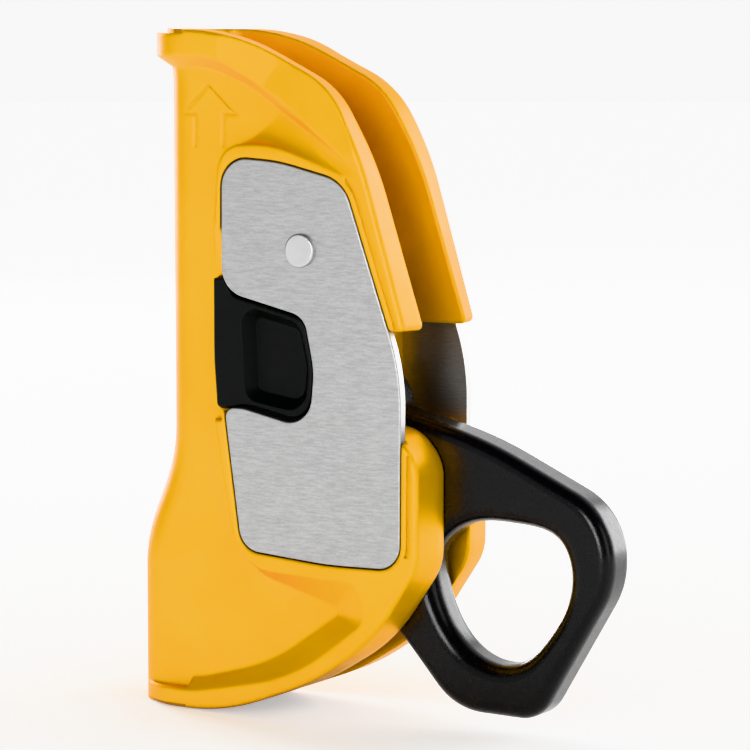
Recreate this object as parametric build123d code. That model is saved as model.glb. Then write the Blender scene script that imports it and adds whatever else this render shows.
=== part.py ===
"""Openable cam rope clamp: a U-shaped forged shell, two inlaid side plates, a link
carrier that swings out of the shell, and a forged cam arm that ends in a carabiner eye.

Frame: +Z up along the rope, +X from the rope to the eye, -Y towards the front plate.
The origin lies on the rope's axis, level with the middle of the shell. Millimetres.
"""
from build123d import *
import math
import os

# ---------------------------------------------------------------- driving sizes (mm)
HALF_WIDTH = 13.5            # rims, lips and side plates stand this far from the mid plane
RECESS_FACE = 10.6           # outer face of the thin flanks, from the mid plane
CHANNEL_HALF = 8.2           # inner face of the flanks, from the mid plane
SHELL_HALF_HEIGHT = 65.0
CHANNEL_BACK = -10.6         # outer face of the spine behind the rope
CHANNEL_INNER = -7.9         # inner face of the spine behind the rope
FOOT_BACK = -17.6            # outer face of the flared lower spine
FOOT_INNER = -13.4           # inner face of the flared lower spine
TOP_LIP_BACK = -14.1
FOOT_LIP_BACK = -18.5
SPINE_ROUNDING = 6.6
TOP_LIP_ROUNDING = 10.2
FOOT_LIP_ROUNDING = 12.9

WING_CORE_HALF = 7.0         # from here outwards the wings' end faces lean inwards

PLATE_THICKNESS = 1.8
PLATE_BACK = HALF_WIDTH - PLATE_THICKNESS
PLATE_GAP = 0.25             # between a side plate and its pocket

NOTCH_TOP = 9.7              # underside of the upper wing
NOTCH_FLOOR = -8.5
NOTCH_DEPTH_X = 29.9         # inner end of the notch

PIVOT = (22.4, 24.0)         # rivet that the carrier swings on (x, z)
AXLE = (27.5, -6.5)          # axle that the cam arm turns on (x, z)
POST = (17.0, 5.85)          # cross post of the carrier, which stops the cam (x, z)
STUD = (22.5, -11.5)         # studs that stop the carrier (x, z)

WING_PAD_FACE = 5.0          # inner face of the lower wings' guide pads
PAD_CLEAR_RADIUS = 36.3      # the pads stay this far from the pivot

WING_TOP_HALF = 11.7         # outer face of the upper wings at their top, from the mid plane
THINNING_START = (4.0, 42.0) # the upper wings start to thin here (x, z)
THINNING_END = (16.0, 58.0)  # and are at their thinnest beyond here (x, z)

LINK_INNER = 5.15
LINK_THICKNESS = 1.8
LINK_OUTER = LINK_INNER + LINK_THICKNESS

ARM_HALF = 4.7               # half the thickness of the cam arm
ARM_EDGE = 2.6               # rounding of the arm's outer edges
EYE_EDGE = 3.5               # rounding of the hole's edges
BOSS_RADIUS = 9.0

CAM_GAP_REST = 6.1           # free gap between the resting cam and the spine
CAM_CONTACT_DEG = 17.0       # where the cam meets the rope, below the axle's level
CAM_WEDGE_DEG = 20.0         # slope of the cam's spiral
CAM_TOP_DEG = -26.0
CAM_TIP_DEG = 26.0
CAM_GROOVES = 7

CATCH_FACE = 12.5            # raised bar of a thumb catch
CATCH_BASE_FACE = 11.4       # base flange, kept in by the side plate
CATCH_INNER = 9.0
CATCH_GAP = 0.25             # between a thumb catch and what surrounds it
CATCH_SCOOP_FLOOR = 10.1
RUNNING = 0.05               # radial clearance of a running fit
GROOVE_OFFSET = 1.0          # from the pocket's edge to the line along the right rim
GROOVE_WIDTH = 0.7
GROOVE_DEPTH = 0.5
RIM_ROUNDING = 0.8
ARROW_LINE = 0.5             # width of the engraved arrow's line
ARROW_DEPTH = 0.25
CHANNEL_ROUNDING = 5.0

RIVET_RADIUS = 2.5
RIVET_HEAD_RADIUS = 3.15
RIVET_HEAD_HEIGHT = 0.8
SLEEVE_RADIUS = 3.75
STUD_RADIUS = 2.0
STUD_DEPTH = 0.9             # how far a stud enters its side plate

LINK_PIVOT_BOSS = 6.0
LINK_AXLE_BOSS = 4.8
LINK_POST_BOSS = 4.2
POST_RADIUS = 2.5
POST_SHANK_RADIUS = 1.75
LEAF_THICKNESS = 0.4

AXLE_RADIUS = 3.0
AXLE_HEAD_RADIUS = 4.2
BUSH_RADIUS = 4.0
SPRING_POCKET_RADIUS = 7.2
SPRING_POCKET_DEPTH = 3.8
SPRING_COIL_RADIUS = 6.0
SPRING_HOLE = (AXLE[0] - SPRING_COIL_RADIUS, AXLE[1])
SPRING_ARM_HOLE = (AXLE[0] + SPRING_COIL_RADIUS, AXLE[1])

FRONT = -1
REAR = 1


# ---------------------------------------------------------------- small helpers
def loop(points, radii):
    """Closed polygon in the XZ plane with each corner rounded to its own radius."""
    with BuildSketch() as sketch:
        with BuildLine():
            FilletPolyline(*points, radius=radii, close=True)
        make_face()
    return sketch.sketch


def loop_plan(points, rounding):
    """Closed polygon in plan (x, y), with the two corners at the back rounded."""
    return loop(points, [rounding, rounding, 8.0, 8.0])


def slab(face, start, end):
    """Solid of a sketch (x, z) between two distances in front of the mid plane."""
    return extrude(Plane.XZ.offset(start) * face, end - start)


def both_sides(face, half):
    """Solid of a sketch (x, z) that reaches the same distance each side of the mid plane."""
    return slab(face, -half, half)


def flared(face, start, end, taper):
    """Like slab, with sides that lean outwards by taper degrees as they leave start."""
    return extrude(Plane.XZ.offset(start) * face, end - start, taper=-taper)


def on_side(solid, side):
    """A solid modelled in front of the mid plane, or its mirror image behind it."""
    return solid if side == FRONT else mirror(solid, Plane.XZ)


def mirrored(solid):
    return solid + mirror(solid, Plane.XZ)


def rod(centre, radius, start, end):
    """Round bar along Y; start and end are distances in front of the mid plane."""
    return slab(Pos(*centre) * Circle(radius), start, end)


def ring(centre, outer, inner, start, end):
    return rod(centre, outer, start, end) - rod(centre, inner, start, end)


def save(solid, node):
    solid.label = node
    export_step(solid, "parts/" + node + ".step")


# ---------------------------------------------------------------- outlines (x, z)
def plate_outline():
    """Side plate: a long shield with a thumb notch in the edge that faces the rope."""
    points = [
        (4.8, 41.2), (17.5, 40.4), (31.6, 37.0), (43.9, 2.2), (43.7, -34.5), (28.0, -34.7),
        (9.0, -33.2), (5.2, -6.2), (9.6, -6.2), (24.0, -9.3), (25.1, 1.6), (23.0, 11.6), (4.7, 15.9),
    ]
    radii = [5.5, 40.0, 7.5, 40.0, 4.8, 80.0, 4.8, 1.9, 9.0, 5.0, 16.0, 4.2, 5.8]
    return loop(points, radii)


def pocket_outline():
    """Pocket that takes a side plate: the plate's outline without its thumb notch."""
    points = [
        (4.8, 41.2), (17.5, 40.4), (31.6, 37.0), (43.9, 2.2), (43.7, -34.5), (28.0, -34.7),
        (9.0, -33.2), (4.9, -4.0), (4.6, 20.0),
    ]
    radii = [5.5, 40.0, 7.5, 40.0, 4.8, 80.0, 4.8, 60.0, 100.0]
    return offset(loop(points, radii), PLATE_GAP)


def catch_outline():
    """Visible face of a thumb catch: it fills the plates' notch and passes its mouth."""
    points = [
        (2.0, 18.4), (4.5, 18.6), (6.8, 15.1), (22.7, 11.3), (24.8, 1.6), (23.7, -8.8), (9.6, -5.9),
        (6.6, -6.6), (2.7, -6.8), (2.0, 3.0),
    ]
    radii = [0.8, 0.8, 2.5, 3.9, 16.0, 4.7, 9.0, 3.0, 1.2, 60.0]
    return offset(loop(points, radii), -CATCH_GAP)


def catch_base_outline():
    """Hidden flange of a thumb catch, which the side plate keeps in."""
    points = [
        (2.3, 18.2), (6.6, 18.6), (12.0, 18.6), (26.8, 14.2), (26.8, -8.8), (7.6, -8.8), (6.6, -6.6),
        (2.5, -6.6),
    ]
    radii = [0.6, 0.5, 20.0, 2.0, 2.0, 0.5, 0.5, 0.8]
    return loop(points, radii)


def shell_outline():
    """Side view of the shell with the notch between its upper and lower wings."""
    top = SHELL_HALF_HEIGHT
    points = [
        (-24.0, top), (6.0, top), (28.5, 54.3), (35.4, 40.6), (44.6, NOTCH_TOP),
        (NOTCH_DEPTH_X, NOTCH_TOP), (NOTCH_DEPTH_X, NOTCH_FLOOR), (42.0, NOTCH_FLOOR), (47.2, -14.2),
        (47.2, -34.0), (37.5, -48.6), (24.0, -57.6), (5.0, -top), (-24.0, -top),
    ]
    radii = [1.0, 45.0, 19.0, 60.0, 1.0, 1.0, 1.0, 8.5, 8.5, 10.0, 35.0, 50.0, 45.0, 1.0]
    return loop(points, radii)


def shell_inner_outline():
    """The same view at the wings' inner edges, which stand a little further out."""
    top = SHELL_HALF_HEIGHT
    points = [
        (-24.0, top), (5.0, top), (27.6, 54.0), (35.9, 40.2), (46.0, NOTCH_TOP),
        (NOTCH_DEPTH_X, NOTCH_TOP), (NOTCH_DEPTH_X, NOTCH_FLOOR), (42.8, NOTCH_FLOOR), (48.2, -14.4),
        (48.2, -34.2), (38.2, -49.0), (24.0, -57.8), (5.0, -top), (-24.0, -top),
    ]
    radii = [1.0, 45.0, 18.0, 60.0, 1.0, 1.0, 1.0, 8.5, 8.5, 10.0, 35.0, 50.0, 45.0, 1.0]
    return loop(points, radii)


def spine_outline(back, foot_back, lead):
    """Everything right of the spine's line: straight behind the cam, flared at the foot.
    lead is how far the top end leans out towards the lip."""
    reach = 60.0
    with BuildSketch() as sketch:
        with BuildLine():
            Spline((back - lead, 61.2), (back, 55.2), tangents=[(0.25, -1), (0, -1)])
            Line((back, 55.2), (back, -11.0))
            Spline((back, -11.0), (foot_back, -39.0), tangents=[(0, -1), (0, -1)])
            Line((foot_back, -39.0), (foot_back, -70.0))
            Line((foot_back, -70.0), (reach, -70.0))
            Line((reach, -70.0), (reach, 70.0))
            Line((reach, 70.0), (back - lead, 70.0))
            Line((back - lead, 70.0), (back - lead, 61.2))
        make_face()
    return sketch.sketch


def round_corners(solid, back, half, radius):
    """Rounds the upright edges where a spine's back meets its two sides."""
    corners = solid.edges().filter_by(
        lambda edge: abs(edge.center().Y) > half - 0.01 and edge.center().X < back + 0.1)
    return fillet(corners, radius)


# ---------------------------------------------------------------- shell
def recess_floor():
    """Floor of the hollow beside the side plate: two leaves joined along the spine."""
    points = [
        (-24.0, 57.8), (0.5, 57.8), (9.5, 54.2), (17.0, 49.7), (9.5, 43.9), (2.6, 41.8), (1.6, 28.0),
        (1.6, -9.0), (6.2, -33.5), (12.5, -38.4), (28.2, -42.9), (28.8, -44.2), (14.0, -54.6),
        (-2.0, -59.2), (-24.0, -59.3),
    ]
    radii = [0.5, 18.0, 30.0, 1.2, 18.0, 5.0, 30.0, 20.0, 7.0, 12.0, 0.6, 0.6, 40.0, 25.0, 0.5]
    return loop(points, radii)


def recess_rim():
    """Where the hollow's walls meet the rims' faces; each corner pairs with one of the floor's.
    The upper leaf runs out through the flank's right edge."""
    points = [
        (-24.0, 60.0), (2.0, 60.2), (17.5, 54.2), (37.8, 35.6), (16.0, 43.6), (4.5, 43.4), (3.2, 28.0),
        (3.2, -9.0), (7.4, -32.0), (12.0, -36.6), (34.6, -37.6), (36.4, -44.8), (20.5, -57.0),
        (-2.0, -61.6), (-24.0, -61.5),
    ]
    radii = [0.5, 20.0, 30.0, 1.2, 25.0, 5.5, 30.0, 20.0, 6.0, 8.0, 2.4, 3.4, 40.0, 25.0, 0.5]
    return loop(points, radii)


def recess_cut():
    floor = Plane.XZ.offset(RECESS_FACE) * recess_floor()
    rim = Plane.XZ.offset(HALF_WIDTH) * recess_rim()
    walls = loft([floor, rim], ruled=True)
    return walls + slab(recess_rim(), HALF_WIDTH, HALF_WIDTH + 0.5)


def rim_groove():
    """Round-bottomed line between the pocket's bead and the flanks' right edge."""
    pocket = pocket_outline()
    line = offset(pocket, GROOVE_OFFSET + GROOVE_WIDTH) - offset(pocket, GROOVE_OFFSET)
    upper = line & (Pos(45.0, 23.5) * Rectangle(26.0, 31.0))
    lower = line & (Pos(45.0, -22.5) * Rectangle(16.0, 19.0))
    cut = slab(upper, HALF_WIDTH - GROOVE_DEPTH, HALF_WIDTH + 0.5)
    return cut + slab(lower, HALF_WIDTH - GROOVE_DEPTH, HALF_WIDTH + 0.5)


def wing_thinning():
    """Takes the outer face of an upper wing inwards towards its top and its right edge."""
    outside = -HALF_WIDTH - 1.0
    with BuildSketch(Plane.YZ) as section:
        with BuildLine():
            Polyline((outside, THINNING_START[1]), (-HALF_WIDTH, THINNING_START[1]),
                     (-WING_TOP_HALF, THINNING_END[1]), (-WING_TOP_HALF, 70.0), (outside, 70.0), close=True)
        make_face()
    plan = make_face(Polyline((THINNING_START[0], outside), (THINNING_START[0], -HALF_WIDTH),
                              (THINNING_END[0], -WING_TOP_HALF), (60.0, -WING_TOP_HALF),
                              (60.0, outside), close=True))
    return extrude(section.sketch, 60.0) & extrude(Pos(0, 0, 30.0) * plan, 41.0)


def thumb_ramp():
    """Clears the rim beside the thumb catch, with a hollow ramp above it."""
    radius = 14.0
    foot = 19.5
    width = 12.0
    scoop = Pos(0, -(RECESS_FACE + radius), foot) * Rot(0, 90, 0) * Cylinder(radius, width)
    box = Pos(0, -(RECESS_FACE + 5), (foot - 8.8) / 2) * Box(width, 10.0, foot + 8.8)
    return Pos(-1.2, 0, 0) * (scoop + box)


def lip_parts(back, rounding, inner_z, face_z, end_z):
    """Rounded collar that a rope runs over: a slope, a straight band and an eased end,
    as solids to be joined."""
    half = HALF_WIDTH
    plan = loop_plan([(back, -half), (back, half), (70.0, half), (70.0, -half)], rounding)
    towards_end = math.copysign(1.0, end_z)
    slope = math.degrees(math.atan2(HALF_WIDTH - RECESS_FACE, abs(face_z - inner_z)))
    ramp = extrude(Pos(0, 0, face_z) * plan, inner_z - face_z, taper=slope)
    eased_z = end_z - towards_end * RIM_ROUNDING
    band = extrude(Pos(0, 0, face_z) * plan, eased_z - face_z)
    eased = extrude(Pos(0, 0, eased_z) * plan, end_z - eased_z, taper=45.0)
    return [ramp, band, eased]


def round_spine():
    """The spine's own envelope: thin flanks joined by a back with rounded corners."""
    spine = both_sides(spine_outline(CHANNEL_BACK, FOOT_BACK, 1.4), RECESS_FACE)
    return round_corners(spine, CHANNEL_BACK, RECESS_FACE, SPINE_ROUNDING)


def shell_blank():
    """Outside of the shell before it is hollowed."""
    inner = Plane.XZ.offset(WING_CORE_HALF) * shell_inner_outline()
    outer = Plane.XZ.offset(HALF_WIDTH) * shell_outline()
    block = both_sides(shell_inner_outline(), WING_CORE_HALF)
    block += mirrored(loft([inner, outer], ruled=True))
    rims = block.edges().filter_by(lambda edge: abs(edge.center().Y) > HALF_WIDTH - 0.01)
    block = fillet(rims, RIM_ROUNDING)
    block -= mirrored(wing_thinning())
    block -= mirrored(recess_cut())
    block -= mirrored(thumb_ramp())
    block -= mirrored(rim_groove())
    front_block = Pos(28.1, 0, 0) * Box(64.0, 2 * HALF_WIDTH + 0.2, 140.0)
    envelopes = [round_spine(), front_block]
    envelopes += lip_parts(TOP_LIP_BACK, TOP_LIP_ROUNDING, 57.8, 59.8, SHELL_HALF_HEIGHT)
    envelopes += lip_parts(FOOT_LIP_BACK, FOOT_LIP_ROUNDING, -59.3, -61.3, -SHELL_HALF_HEIGHT)
    pieces = [block & envelope for envelope in envelopes]
    blank = pieces[0]
    for piece in pieces[1:]:
        blank += piece
    return blank


def wing_pads():
    """Guide pads inside the lower wings, which the cam arm runs between."""
    points = [
        (36.5, 0.0), (37.5, -31.0), (26.0, -44.5), (13.0, -52.0), (13.0, -75.0), (60.0, -75.0),
        (60.0, 0.0),
    ]
    face = loop(points, [0.5, 8.0, 10.0, 3.0, 0.5, 0.5, 0.5]) - Pos(*PIVOT) * Circle(PAD_CLEAR_RADIUS)
    return mirrored(slab(face, WING_PAD_FACE, CHANNEL_HALF + 1.0))


def cavity():
    """Rope channel and the space between the flanks, open above, below and to the right."""
    space = both_sides(spine_outline(CHANNEL_INNER, FOOT_INNER, 0.8), CHANNEL_HALF)
    space = round_corners(space, CHANNEL_INNER, CHANNEL_HALF, CHANNEL_ROUNDING)
    return space - wing_pads()


def arrow_groove():
    """Outline of an upward arrow, open at its foot, engraved in the upper hollow."""
    outline = make_face(Polyline((0.3, 54.9), (-6.1, 48.8), (-3.0, 48.8), (-3.0, 41.2), (3.8, 41.2),
                                 (3.8, 48.8), (7.0, 48.8), close=True))
    line = outline - offset(outline, -ARROW_LINE, kind=Kind.INTERSECTION)
    line -= Pos(0.4, 41.2) * Rectangle(8.0, 3.0)
    return slab(line, RECESS_FACE - ARROW_DEPTH, RECESS_FACE + 1.0)


def shell():
    body = shell_blank() - cavity()
    for side in (FRONT, REAR):
        body -= on_side(slab(pocket_outline(), PLATE_BACK, HALF_WIDTH + 1.0), side)
        catch_window = offset(catch_base_outline(), CATCH_GAP)
        body -= on_side(slab(catch_window, CHANNEL_HALF - 0.5, HALF_WIDTH + 1.0), side)
        body -= on_side(arrow_groove(), side)
        body -= on_side(rod(STUD, STUD_RADIUS, CHANNEL_HALF - 0.5, HALF_WIDTH), side)
    return body - rod(PIVOT, RIVET_RADIUS + RUNNING, -HALF_WIDTH, HALF_WIDTH)


# ---------------------------------------------------------------- side plates, rivet, studs
def side_plate(side):
    plate = slab(plate_outline(), PLATE_BACK, HALF_WIDTH)
    rim = plate.edges().filter_by(lambda edge: edge.center().Y < -(HALF_WIDTH - 0.01))
    plate = fillet(rim, 0.35)
    plate -= rod(PIVOT, RIVET_RADIUS + RUNNING, PLATE_BACK - 1.0, HALF_WIDTH + 1.0)
    plate -= rod(STUD, STUD_RADIUS, PLATE_BACK - 1.0, PLATE_BACK + STUD_DEPTH + 0.1)
    return on_side(plate, side)


def pivot_rivet():
    """Rivet through both plates and flanks, peened flat over the plates."""
    shank = rod(PIVOT, RIVET_RADIUS, -HALF_WIDTH, HALF_WIDTH)
    head = rod(PIVOT, RIVET_HEAD_RADIUS, HALF_WIDTH, HALF_WIDTH + RIVET_HEAD_HEIGHT)
    outer = head.edges().filter_by(lambda edge: edge.center().Y < -(HALF_WIDTH + 0.5))
    return shank + mirrored(fillet(outer, 0.4))


def pivot_sleeve():
    """Spacer tube that keeps the flanks apart and that the links turn on."""
    half = CHANNEL_HALF - 0.02
    return ring(PIVOT, SLEEVE_RADIUS, RIVET_RADIUS + RUNNING, -half, half)


def stop_stud(side):
    """Stud in one flank: its inner end stops the carrier, its outer end locates the plate."""
    return on_side(rod(STUD, STUD_RADIUS, LINK_INNER + 0.2, PLATE_BACK + STUD_DEPTH), side)


# ---------------------------------------------------------------- carrier
def link_outline():
    """Link plate: three bosses joined by a web."""
    pivot = Pos(*PIVOT) * Circle(LINK_PIVOT_BOSS)
    axle = Pos(*AXLE) * Circle(LINK_AXLE_BOSS)
    post = Pos(*POST) * Circle(LINK_POST_BOSS)
    web = make_face(Polyline(PIVOT, AXLE, POST, close=True))
    pairs = [(pivot, axle), (axle, post), (post, pivot)]
    strips = [make_hull((one + two).edges()) for one, two in pairs]
    return strips[0] + strips[1] + strips[2] + web


def link(side):
    plate = slab(link_outline(), LINK_INNER, LINK_OUTER)
    plate -= rod(PIVOT, SLEEVE_RADIUS + RUNNING, 0, HALF_WIDTH)
    plate -= rod(AXLE, AXLE_RADIUS, 0, HALF_WIDTH)
    plate -= rod(POST, POST_SHANK_RADIUS, 0, HALF_WIDTH)
    plate -= rod(SPRING_HOLE, 0.6, 0, HALF_WIDTH)
    return on_side(plate, side)


def link_post():
    """Shouldered cross post, peened over both links and their latch springs."""
    body = rod(POST, POST_RADIUS, -LINK_INNER, LINK_INNER)
    reach = LINK_OUTER + LEAF_THICKNESS
    shank = rod(POST, POST_SHANK_RADIUS, -reach, reach)
    return body + shank + mirrored(rod(POST, POST_RADIUS, reach, reach + 0.5))


def cam_axle():
    """Axle riveted through both links."""
    shank = rod(AXLE, AXLE_RADIUS, -LINK_OUTER, LINK_OUTER)
    head = rod(AXLE, AXLE_HEAD_RADIUS, LINK_OUTER, LINK_OUTER + 0.8)
    outer = head.edges().filter_by(lambda edge: edge.center().Y < -(LINK_OUTER + 0.7))
    return shank + mirrored(fillet(outer, 0.4))


def pivot_washers():
    """Washers between the links and the flanks."""
    washer = ring(PIVOT, LINK_PIVOT_BOSS, SLEEVE_RADIUS + RUNNING, LINK_OUTER + 0.05, CHANNEL_HALF - 0.1)
    return mirrored(washer)


def latch_spring(side):
    """Leaf on a link's outer face: its sprung tip stands in the catch window, against the
    window's right edge, and locks the carrier until the thumb catch presses it in."""
    tip_x = 26.85
    x, z = POST
    base = LINK_OUTER
    line = [(x - 3.2, base), (20.0, base), (tip_x - 0.6, 8.55), (tip_x, 8.55), (tip_x, 8.95),
            (tip_x - 0.75, 8.95), (20.0 - 0.1, base + LEAF_THICKNESS), (x - 3.2, base + LEAF_THICKNESS)]
    with BuildSketch(Plane.XY.offset(z - 3.2)) as profile:
        with BuildLine():
            Polyline(*[(px, -py) for px, py in line], close=True)
        make_face()
    leaf = extrude(profile.sketch, 6.4)
    leaf -= rod(POST, POST_SHANK_RADIUS, 0, HALF_WIDTH)
    return on_side(leaf, side)


# ---------------------------------------------------------------- cam arm
def eye_outline():
    """Outer line of the forged eye and the neck that leads to the cam."""
    points = [(27.0, -3.2), (55.4, -10.0), (82.4, -22.6), (82.4, -36.4), (67.4, -62.0), (49.6, -61.6),
              (36.0, -46.0), (24.0, -30.0)]
    return loop(points, [2.0, 80.0, 14.0, 16.0, 7.0, 13.0, 40.0, 2.0])


def eye_hole_outline():
    """Egg-shaped hole that a carabiner turns in, narrower at the bottom."""
    points = [(45.2, -34.5), (47.6, -43.4), (54.2, -50.8), (62.0, -51.9), (69.4, -45.4), (73.5, -35.5),
              (71.2, -28.4), (62.0, -25.8), (50.4, -27.4)]
    with BuildSketch() as sketch:
        with BuildLine():
            Spline(*points, periodic=True)
        make_face()
    return sketch.sketch


def cam_point(angle_deg, lift=0.0):
    """Point of the cam's logarithmic spiral; the angle is measured below the axle's level."""
    contact = math.radians(CAM_CONTACT_DEG)
    contact_radius = (AXLE[0] - CHANNEL_INNER - CAM_GAP_REST) / math.cos(contact)
    angle = math.radians(angle_deg)
    radius = contact_radius * math.exp(math.tan(math.radians(CAM_WEDGE_DEG)) * (angle - contact)) + lift
    return (AXLE[0] - radius * math.cos(angle), AXLE[1] - radius * math.sin(angle))


def cam_outline():
    """Cam lobe: spiral face to the rope, flat top that rests on the post, hollow underside."""
    top = cam_point(CAM_TOP_DEG)
    tip = cam_point(CAM_TIP_DEG)
    steps = [CAM_TOP_DEG + (CAM_TIP_DEG - CAM_TOP_DEG) * i / 4 for i in range(5)]
    with BuildSketch() as sketch:
        with BuildLine():
            Spline(*[cam_point(angle) for angle in steps])
            Line(top, (27.0, AXLE[1] + BOSS_RADIUS))
            Line((27.0, AXLE[1] + BOSS_RADIUS), (40.0, -8.0))
            Line((40.0, -8.0), (41.5, -30.0))
            Line((41.5, -30.0), (32.0, -42.0))
            ThreePointArc((32.0, -42.0), (20.0, -28.5), tip)
        make_face()
    return sketch.sketch


def rope_grooves():
    """Wide grooves across the cam's face."""
    solid = None
    for i in range(CAM_GROOVES):
        angle = CAM_TOP_DEG + 5.0 + (CAM_TIP_DEG - CAM_TOP_DEG - 9.0) * i / (CAM_GROOVES - 1)
        cut = rod(cam_point(angle, 0.55), 1.3, -2 * ARM_HALF, 2 * ARM_HALF)
        solid = cut if solid is None else solid + cut
    return solid


def cam_arm():
    bar = both_sides(eye_outline(), ARM_HALF)
    bar = fillet(bar.edges().filter_by(lambda edge: abs(edge.center().Y) > ARM_HALF - 0.01), ARM_EDGE)
    hole = both_sides(eye_hole_outline(), 2 * ARM_HALF)
    eye = bar - hole
    rim = eye.edges().filter_by(GeomType.BSPLINE).filter_by(
        lambda edge: abs(edge.center().Y) > ARM_HALF - 0.01)
    eye = fillet(rim, EYE_EDGE)
    cam = both_sides(cam_outline(), ARM_HALF)
    cam += rod(AXLE, BOSS_RADIUS, -ARM_HALF, ARM_HALF)
    keep_off = both_sides(offset(eye_hole_outline(), EYE_EDGE + 0.5), 2 * ARM_HALF)
    arm = eye + (cam - keep_off)
    arm -= rod(AXLE, BUSH_RADIUS, -2 * ARM_HALF, 2 * ARM_HALF)
    arm -= rod(AXLE, SPRING_POCKET_RADIUS, -2 * ARM_HALF, -(ARM_HALF - SPRING_POCKET_DEPTH))
    arm -= rod(SPRING_ARM_HOLE, 0.6, -2 * ARM_HALF, -(ARM_HALF - SPRING_POCKET_DEPTH - 2.0))
    return arm - rope_grooves()


def cam_bush():
    return ring(AXLE, BUSH_RADIUS, AXLE_RADIUS + RUNNING, -ARM_HALF, ARM_HALF)


def cam_washers():
    return mirrored(ring(AXLE, 5.0, AXLE_RADIUS + RUNNING, ARM_HALF + 0.05, LINK_INNER - 0.05))


def cam_spring():
    """Torsion spring in the arm's rear pocket: it closes the cam on the rope."""
    turns = 2.5
    pitch = 1.15
    wire = 0.45
    start = ARM_HALF - SPRING_POCKET_DEPTH + wire + 0.1
    coil_frame = Plane(origin=(AXLE[0], start, AXLE[1]), x_dir=(1, 0, 0), z_dir=(0, 1, 0))
    path = coil_frame * Helix(pitch, pitch * turns, SPRING_COIL_RADIUS)
    coil = sweep(Plane(path @ 0, z_dir=path % 0) * Circle(wire), path)
    head = path @ 1
    tail = path @ 0
    link_leg = Pos(head.X, head.Y + 0.7, head.Z) * Rot(90, 0, 0) * Cylinder(wire + 0.05, 2.2)
    arm_leg = Pos(tail.X, tail.Y - 0.8, tail.Z) * Rot(90, 0, 0) * Cylinder(wire + 0.05, 2.2)
    return coil + link_leg + arm_leg


# ---------------------------------------------------------------- thumb catches
def thumb_catch(side):
    """Press pad in a plate's notch: raised bar beside the rope, deep hollow for the thumb."""
    base = slab(catch_base_outline(), CATCH_INNER, CATCH_BASE_FACE)
    face = slab(catch_outline(), CATCH_BASE_FACE - 0.5, CATCH_FACE)
    rim = face.edges().filter_by(lambda edge: edge.center().Y < -(CATCH_FACE - 0.01))
    pad = base + fillet(rim, 0.5)
    hollow = loop([(8.6, 13.2), (21.4, 10.2), (23.4, 1.6), (22.4, -6.4), (9.6, -4.4)],
                  [3.0, 3.6, 12.0, 4.0, 3.0])
    pad -= flared(offset(hollow, -1.6), CATCH_SCOOP_FLOOR, CATCH_FACE + 0.5, 38.0)
    relief = slab(make_face(Polyline((13.0, 2.0), (27.5, 2.0), (27.5, 9.8), (13.0, 9.8), close=True)),
                  CATCH_INNER - 1.0, CATCH_INNER + 0.15)
    return on_side(pad - relief, side)


def build_all():
    nodes = {
        "shell": shell(),
        "front_plate": side_plate(FRONT),
        "rear_plate": side_plate(REAR),
        "pivot_rivet": pivot_rivet(),
        "pivot_sleeve": pivot_sleeve(),
        "front_stop_stud": stop_stud(FRONT),
        "rear_stop_stud": stop_stud(REAR),
        "front_link": link(FRONT),
        "rear_link": link(REAR),
        "link_post": link_post(),
        "cam_axle": cam_axle(),
        "pivot_washers": pivot_washers(),
        "front_latch_spring": latch_spring(FRONT),
        "rear_latch_spring": latch_spring(REAR),
        "cam_arm": cam_arm(),
        "cam_bush": cam_bush(),
        "cam_washers": cam_washers(),
        "cam_spring": cam_spring(),
        "front_thumb_catch": thumb_catch(FRONT),
        "rear_thumb_catch": thumb_catch(REAR),
    }
    for node, solid in nodes.items():
        save(solid, node)


if __name__ == "__main__":
    os.makedirs("parts", exist_ok=True)
    build_all()
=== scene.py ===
"""Openable cam rope clamp: looks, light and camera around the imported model."""
import bpy
import math
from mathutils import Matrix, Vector


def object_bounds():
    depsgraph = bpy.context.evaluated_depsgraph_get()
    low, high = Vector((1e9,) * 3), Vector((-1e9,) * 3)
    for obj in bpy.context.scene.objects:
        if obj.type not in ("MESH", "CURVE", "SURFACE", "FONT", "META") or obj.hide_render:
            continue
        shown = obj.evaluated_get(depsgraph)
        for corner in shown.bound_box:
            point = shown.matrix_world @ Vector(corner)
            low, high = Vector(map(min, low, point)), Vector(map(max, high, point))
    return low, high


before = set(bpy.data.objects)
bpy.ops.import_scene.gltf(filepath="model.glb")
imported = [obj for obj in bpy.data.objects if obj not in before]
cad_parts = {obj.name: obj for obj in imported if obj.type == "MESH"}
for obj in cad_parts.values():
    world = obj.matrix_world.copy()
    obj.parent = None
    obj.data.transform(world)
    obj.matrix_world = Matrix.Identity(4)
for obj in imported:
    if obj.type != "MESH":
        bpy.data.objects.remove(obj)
CAD_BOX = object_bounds()

# ---------------------------------------------------------------- driving values
CAMERA_AZIMUTH = 30.5        # degrees to the right of the front plate
CAMERA_ELEVATION = 5.8
CAMERA_DISTANCE = 0.627
CAMERA_LENS = 159.5
TARGET = Vector((0.0305, 0.0, 0.0))
SENSOR_WIDTH = 36.0          # millimetres
MM = 1000.0                  # object coordinates to millimetres
WHITE = (1.0, 1.0, 1.0, 1.0)

FLOOR_GAP = 0.0002           # metres below the clamp's lowest point
FLOOR_RADIUS = 6.0
FLOOR_CORNERS = 64
FLOOR_GLOW = (0.35, 1.2)     # emission at the first and at the second depth
FLOOR_DEPTHS = (-50.0, 700.0)  # millimetres behind the mid plane
SKY_GLOW = (0.15, 1.5)       # strength at the first and at the second slope
SKY_SLOPES = (0.0, 0.6)      # how far a direction points backwards, 1 for straight back

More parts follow.
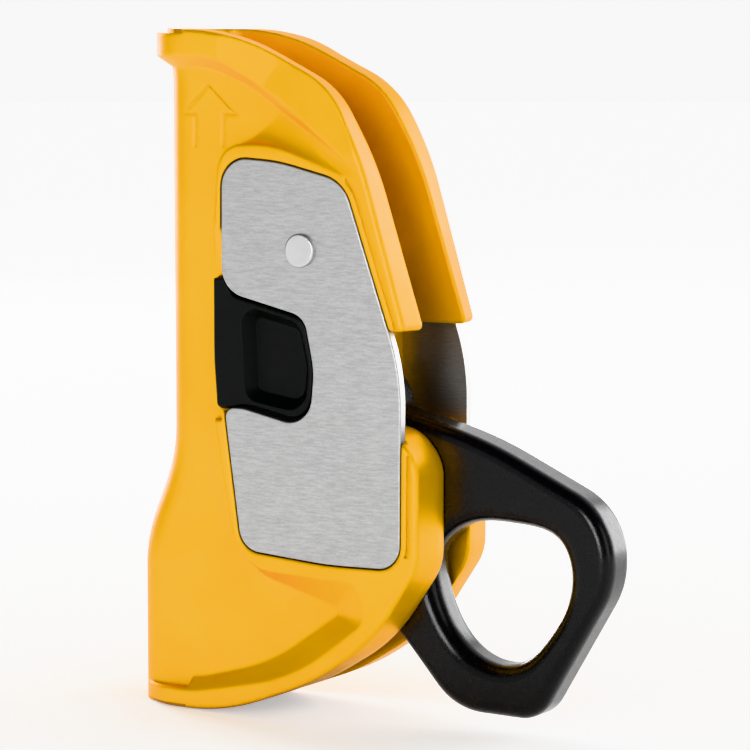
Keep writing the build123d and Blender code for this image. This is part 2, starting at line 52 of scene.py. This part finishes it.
# name, direction from the clamp, distance (m), width and height (m), radiance
LAMPS = [
    ("front_key", (0.20, -0.97, 0.12), 1.5, (0.4, 0.9), 13.0),
    ("front_left", (-0.50, -0.84, 0.20), 1.6, (1.3, 1.3), 0.9),
    ("back_right", (0.50, 0.84, 0.22), 1.3, (0.9, 0.8), 6.0),
    ("back_top", (-0.25, 0.80, 0.55), 1.5, (1.0, 0.4), 1.5),
    ("side_right", (0.95, -0.25, 0.25), 1.2, (0.5, 0.8), 2.5),
    ("strip_left", (-0.86, 0.48, 0.12), 1.1, (0.4, 1.1), 22.0),
]

GOLD = (0.85, 0.435, 0.001)
GOLD_DEEP = (0.80, 0.395, 0.001)
# paler gold for the painted highlights along the edges
GOLD_HIGHLIGHT_PALE = (0.92, 0.56, 0.06)
# painted shade: dark brown for the deep rope channel, where the front wing's shadow falls
GOLD_PAINTED_SHADE = (0.14, 0.04, 0.006)
GOLD_EASE = 0.0011           # how far the shell's edges look rounded, in metres
GOLD_HIGHLIGHT_WIDTH = 0.00035    # width of the paler edges painted as highlights, in metres
GOLD_HIGHLIGHT_AMOUNT = 0.45             # how pale the painted edge highlights get
PAINTED_SHADE_REACH = 0.03          # how far the painted shade deep inside looks for open air, in metres
STEEL_EASE = 0.0002
NYLON_EASE = 0.0003
FORGING_EASE = 0.0005
# painted highlight: width and strength of the greyer edges of the black forging
FORGING_HIGHLIGHT_WIDTH = 0.0004
FORGING_HIGHLIGHT_AMOUNT = 0.5
PLATE_GREY = (0.34, 0.34, 0.34)
PLATE_LIGHT = (0.45, 0.45, 0.45)
RIVET_DARK = (0.46, 0.46, 0.46)
RIVET_LIGHT = (0.54, 0.54, 0.54)
LINK_DARK = (0.30, 0.30, 0.31)
LINK_LIGHT = (0.42, 0.42, 0.43)
SPRING_DARK = (0.42, 0.41, 0.40)
SPRING_LIGHT = (0.55, 0.54, 0.53)
FORGING_BLACK = (0.006, 0.006, 0.0065)
# grey for the painted edge highlights of the forging
FORGING_HIGHLIGHT_GREY = (0.03, 0.03, 0.031)
NYLON_DARK = (0.005, 0.0055, 0.0055)
NYLON_LIGHT = (0.009, 0.0095, 0.0095)
WASHER_DARK = (0.62, 0.60, 0.54)
WASHER_LIGHT = (0.72, 0.70, 0.65)
BRONZE_DARK = (0.48, 0.27, 0.09)
BRONZE_LIGHT = (0.60, 0.37, 0.15)
FLOOR_DARK = (0.90, 0.90, 0.90)
FLOOR_LIGHT = (0.92, 0.92, 0.92)


# ---------------------------------------------------------------- node helpers
class Shader:
    """A material whose nodes are added one at a time."""

    def __init__(self, name):
        self.material = bpy.data.materials.new(name)
        self.material.use_nodes = True
        self.tree = self.material.node_tree
        self.surface = self.tree.nodes["Principled BSDF"]
        coordinates = self.tree.nodes.new("ShaderNodeTexCoord")
        self.place = self.scaled(coordinates.outputs["Object"], (MM, MM, MM))

    def node(self, kind, **settings):
        made = self.tree.nodes.new(kind)
        for key, value in settings.items():
            setattr(made, key, value)
        return made

    def link(self, source, target):
        self.tree.links.new(source, target)

    def set(self, **values):
        """Constant values of the surface shader, by socket name with _ for spaces."""
        for key, value in values.items():
            self.surface.inputs[key.replace("_", " ")].default_value = value

    def scaled(self, vector, scale):
        mapping = self.node("ShaderNodeMapping")
        mapping.inputs["Scale"].default_value = scale
        self.link(vector, mapping.inputs["Vector"])
        return mapping.outputs["Vector"]

    def noise(self, scale, detail, stretch=None):
        """Noise with scale in lumps per millimetre; stretch scales each axis."""
        made = self.node("ShaderNodeTexNoise")
        made.inputs["Scale"].default_value = scale
        made.inputs["Detail"].default_value = detail
        vector = self.scaled(self.place, stretch) if stretch else self.place
        self.link(vector, made.inputs["Vector"])
        return made.outputs["Fac"]

    def remap(self, value, low, high, new_low, new_high):
        made = self.node("ShaderNodeMapRange")
        made.inputs["From Min"].default_value = low
        made.inputs["From Max"].default_value = high
        made.inputs["To Min"].default_value = new_low
        made.inputs["To Max"].default_value = new_high
        self.link(value, made.inputs["Value"])
        return made.outputs["Result"]

    def mix(self, factor, one, two):
        """Colour between two colours, each a tuple or a socket. A Mix node keeps its two
        colours in sockets 6 and 7 and its colour result in socket 2."""
        made = self.node("ShaderNodeMix", data_type="RGBA")
        self.link(factor, made.inputs["Factor"])
        for socket, colour in ((made.inputs[6], one), (made.inputs[7], two)):
            if isinstance(colour, tuple):
                socket.default_value = (*colour, 1.0)
            else:
                self.link(colour, socket)
        return made.outputs[2]

    def math(self, operation, one, two):
        made = self.node("ShaderNodeMath", operation=operation)
        for socket, value in zip(made.inputs, (one, two)):
            if isinstance(value, (int, float)):
                socket.default_value = value
            else:
                self.link(value, socket)
        return made.outputs["Value"]

    def eased_normal(self, radius):
        """Normal with every edge rounded by radius, in metres."""
        made = self.node("ShaderNodeBevel", samples=6)
        made.inputs["Radius"].default_value = radius
        return made.outputs["Normal"]

    def openness(self, distance):
        """1 on open faces, falling towards 0 deep inside narrow spaces."""
        made = self.node("ShaderNodeAmbientOcclusion", samples=6)
        made.inputs["Distance"].default_value = distance
        return made.outputs["AO"]

    def edge_mask(self, radius):
        """1 along edges within radius, 0 on open faces."""
        geometry = self.node("ShaderNodeNewGeometry")
        product = self.node("ShaderNodeVectorMath", operation="DOT_PRODUCT")
        self.link(self.eased_normal(radius), product.inputs[0])
        self.link(geometry.outputs["Normal"], product.inputs[1])
        return self.remap(product.outputs["Value"], 0.995, 0.85, 0.0, 1.0)

    def bump(self, height, distance, normal=None, strength=1.0):
        made = self.node("ShaderNodeBump")
        made.inputs["Strength"].default_value = strength
        made.inputs["Distance"].default_value = distance
        self.link(height, made.inputs["Height"])
        if normal:
            self.link(normal, made.inputs["Normal"])
        return made.outputs["Normal"]

    def colour(self, socket):
        self.link(socket, self.surface.inputs["Base Color"])

    def roughness(self, socket):
        self.link(socket, self.surface.inputs["Roughness"])

    def normal(self, socket):
        self.link(socket, self.surface.inputs["Normal"])


# ---------------------------------------------------------------- materials
def gold_anodised():
    """Satin gold anodising: fine blasted grain, a faint flow of tone, paler edges as painted
    highlights, and painted shade in dark brown deep inside the rope channel."""
    s = Shader("gold_anodised")
    flow = s.remap(s.noise(0.05, 3.0), 0.35, 0.65, 0.0, 1.0)
    tone = s.mix(flow, GOLD, GOLD_DEEP)
    edge = s.edge_mask(GOLD_HIGHLIGHT_WIDTH)
    # painted shade: darker brown where the channel is deep and closed in
    open_air = s.remap(s.openness(PAINTED_SHADE_REACH), 0.10, 0.32, 0.0, 1.0)
    tone = s.mix(open_air, GOLD_PAINTED_SHADE, tone)
    # painted highlight: paler colour along every edge
    s.colour(s.mix(s.math("MULTIPLY", edge, GOLD_HIGHLIGHT_AMOUNT), tone, GOLD_HIGHLIGHT_PALE))
    grain = s.noise(7.0, 3.0)
    cloud = s.noise(0.3, 3.0)
    base = s.remap(cloud, 0.3, 0.7, 0.38, 0.45)
    s.roughness(s.math("ADD", base, s.remap(grain, 0.3, 0.7, -0.03, 0.03)))
    s.set(Metallic=0.55, Specular_Tint=(1.0, 0.6, 0.1, 1.0), Coat_Weight=0.03, Coat_Roughness=0.25)
    s.normal(s.bump(grain, 0.000006, s.eased_normal(GOLD_EASE)))
    return s.material


def brushed_steel(name, dark, light, stretch, rough):
    """Steel brushed along one axis: short bright and dark hairlines."""
    s = Shader(name)
    long_lines = s.math("MULTIPLY", s.noise(1.0, 3.0, stretch), 0.5)
    short_lines = s.math("MULTIPLY", s.noise(2.3, 4.0, tuple(2.0 * n for n in stretch)), 0.5)
    lines = s.math("ADD", long_lines, short_lines)
    s.colour(s.mix(s.remap(lines, 0.36, 0.64, 0.0, 1.0), dark, light))
    s.roughness(s.remap(lines, 0.35, 0.65, rough + 0.06, rough - 0.06))
    s.set(Metallic=1.0)
    s.normal(s.bump(lines, 0.00001, s.eased_normal(STEEL_EASE)))
    return s.material


def turned_steel(name, dark, light, rough):
    """Plain steel with a fine irregular grain."""
    s = Shader(name)
    grain = s.noise(4.0, 4.0)
    cloud = s.noise(0.6, 2.0)
    s.colour(s.mix(cloud, dark, light))
    s.roughness(s.remap(grain, 0.3, 0.7, rough - 0.05, rough + 0.07))
    s.set(Metallic=1.0)
    s.normal(s.bump(grain, 0.000008, s.eased_normal(STEEL_EASE)))
    return s.material


def black_forging():
    """Satin black forging: soft orange-peel skin and slightly greyer edges painted as highlights."""
    s = Shader("black_forging")
    # painted highlight: greyer colour along the edges
    edge = s.edge_mask(FORGING_HIGHLIGHT_WIDTH)
    s.colour(s.mix(s.math("MULTIPLY", edge, FORGING_HIGHLIGHT_AMOUNT), FORGING_BLACK, FORGING_HIGHLIGHT_GREY))
    grain = s.noise(5.0, 3.0)
    skin = s.noise(0.7, 2.0)
    base = s.remap(skin, 0.3, 0.7, 0.20, 0.28)
    s.roughness(s.math("ADD", base, s.remap(grain, 0.3, 0.7, -0.04, 0.04)))
    s.set(Metallic=0.0, Specular_IOR_Level=0.35)
    fine = s.bump(grain, 0.000012, s.eased_normal(FORGING_EASE))
    s.normal(s.bump(skin, 0.00003, fine, 0.5))
    return s.material


def black_nylon():
    """Moulded black nylon with a fine spark-eroded grain."""
    s = Shader("black_nylon")
    grain = s.noise(6.0, 2.0)
    cloud = s.noise(0.4, 2.0)
    s.colour(s.mix(cloud, NYLON_DARK, NYLON_LIGHT))
    s.roughness(s.remap(grain, 0.3, 0.7, 0.38, 0.50))
    s.set(Specular_IOR_Level=0.25)
    s.normal(s.bump(grain, 0.00003, s.eased_normal(NYLON_EASE)))
    return s.material


def nylon_washer():
    s = Shader("nylon_washer")
    cloud = s.noise(1.5, 3.0)
    s.colour(s.mix(cloud, WASHER_DARK, WASHER_LIGHT))
    s.roughness(s.remap(cloud, 0.3, 0.7, 0.4, 0.55))
    s.set(Subsurface_Weight=0.2)
    s.normal(s.bump(cloud, 0.00001))
    return s.material


def bronze_bush():
    s = Shader("bronze_bush")
    cloud = s.noise(1.2, 4.0)
    s.colour(s.mix(cloud, BRONZE_DARK, BRONZE_LIGHT))
    s.roughness(s.remap(cloud, 0.3, 0.7, 0.28, 0.42))
    s.set(Metallic=1.0)
    s.normal(s.bump(cloud, 0.00001))
    return s.material


def finish_nodes():
    gold = gold_anodised()
    plate = brushed_steel("brushed_plate", PLATE_GREY, PLATE_LIGHT, (0.45, 3.0, 3.0), 0.42)
    rivet = turned_steel("rivet_steel", RIVET_DARK, RIVET_LIGHT, 0.34)
    link = brushed_steel("link_steel", LINK_DARK, LINK_LIGHT, (3.0, 3.0, 0.5), 0.38)
    spring = turned_steel("spring_steel", SPRING_DARK, SPRING_LIGHT, 0.28)
    arm = black_forging()
    nylon = black_nylon()
    washer = nylon_washer()
    bush = bronze_bush()
    chosen = {
        "shell": gold,
        "front_plate": plate,
        "rear_plate": plate,
        "pivot_rivet": rivet,
        "pivot_sleeve": rivet,
        "front_stop_stud": rivet,
        "rear_stop_stud": rivet,
        "front_link": link,
        "rear_link": link,
        "link_post": rivet,
        "cam_axle": rivet,
        "pivot_washers": washer,
        "front_latch_spring": spring,
        "rear_latch_spring": spring,
        "cam_arm": arm,
        "cam_bush": bush,
        "cam_washers": washer,
        "cam_spring": spring,
        "front_thumb_catch": nylon,
        "rear_thumb_catch": nylon,
    }
    for name, material in chosen.items():
        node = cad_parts[name]
        node.data.materials.clear()
        node.data.materials.append(material)


# ---------------------------------------------------------------- floor, light, camera
def floor():
    """Round pale floor just under the lowest point of the clamp, glowing behind it."""
    level = CAD_BOX[0].z - FLOOR_GAP
    angles = [2 * math.pi * i / FLOOR_CORNERS for i in range(FLOOR_CORNERS)]
    points = [(FLOOR_RADIUS * math.cos(angle), FLOOR_RADIUS * math.sin(angle), level) for angle in angles]
    mesh = bpy.data.meshes.new("floor")
    mesh.from_pydata(points, [], [list(range(FLOOR_CORNERS))])
    disc = bpy.data.objects.new("floor", mesh)
    bpy.context.scene.collection.objects.link(disc)
    s = Shader("pale_floor")
    s.colour(s.mix(s.noise(0.02, 2.0), FLOOR_DARK, FLOOR_LIGHT))
    s.set(Roughness=0.9, Specular_IOR_Level=0.1, Emission_Color=WHITE)
    parts = s.node("ShaderNodeSeparateXYZ")
    s.link(s.place, parts.inputs["Vector"])
    glow = s.remap(parts.outputs["Y"], *FLOOR_DEPTHS, *FLOOR_GLOW)
    s.link(glow, s.surface.inputs["Emission Strength"])
    mesh.materials.append(s.material)


def softbox(name, direction, distance, size, radiance):
    """Rectangular light of even brightness, facing the clamp from that direction."""
    lamp = bpy.data.lights.new(name, "AREA")
    lamp.shape = "RECTANGLE"
    lamp.size, lamp.size_y = size
    lamp.energy = radiance * math.pi * size[0] * size[1]
    holder = bpy.data.objects.new(name, lamp)
    towards = Vector(direction).normalized()
    holder.location = TARGET + towards * distance
    holder.rotation_euler = (-towards).to_track_quat("-Z", "Y").to_euler()
    bpy.context.scene.collection.objects.link(holder)


def sky():
    """Studio surround: plain white, brighter behind the clamp than in front of it."""
    world = bpy.data.worlds.new("studio")
    bpy.context.scene.world = world
    world.use_nodes = True
    nodes = world.node_tree.nodes
    links = world.node_tree.links
    direction = nodes.new("ShaderNodeTexCoord")
    parts = nodes.new("ShaderNodeSeparateXYZ")
    level = nodes.new("ShaderNodeMapRange")
    level.inputs["From Min"].default_value = SKY_SLOPES[0]
    level.inputs["From Max"].default_value = SKY_SLOPES[1]
    level.inputs["To Min"].default_value = SKY_GLOW[0]
    level.inputs["To Max"].default_value = SKY_GLOW[1]
    links.new(direction.outputs["Generated"], parts.inputs["Vector"])
    links.new(parts.outputs["Y"], level.inputs["Value"])
    links.new(level.outputs["Result"], nodes["Background"].inputs["Strength"])
    nodes["Background"].inputs["Color"].default_value = WHITE


def camera():
    """Long lens at the angle of the product picture."""
    azimuth = math.radians(CAMERA_AZIMUTH)
    elevation = math.radians(CAMERA_ELEVATION)
    back = Vector((math.sin(azimuth) * math.cos(elevation), -math.cos(azimuth) * math.cos(elevation),
                   math.sin(elevation)))
    lens = bpy.data.cameras.new("camera")
    lens.lens = CAMERA_LENS
    lens.sensor_width = SENSOR_WIDTH
    lens.clip_start = 0.01
    eye = bpy.data.objects.new("camera", lens)
    eye.location = TARGET + back * CAMERA_DISTANCE
    eye.rotation_euler = (-back).to_track_quat("-Z", "Y").to_euler()
    bpy.context.scene.collection.objects.link(eye)
    bpy.context.scene.camera = eye


finish_nodes()
floor()
sky()
for lamp_settings in LAMPS:
    softbox(*lamp_settings)
camera()
bpy.context.scene.view_settings.view_transform = "Khronos PBR Neutral"
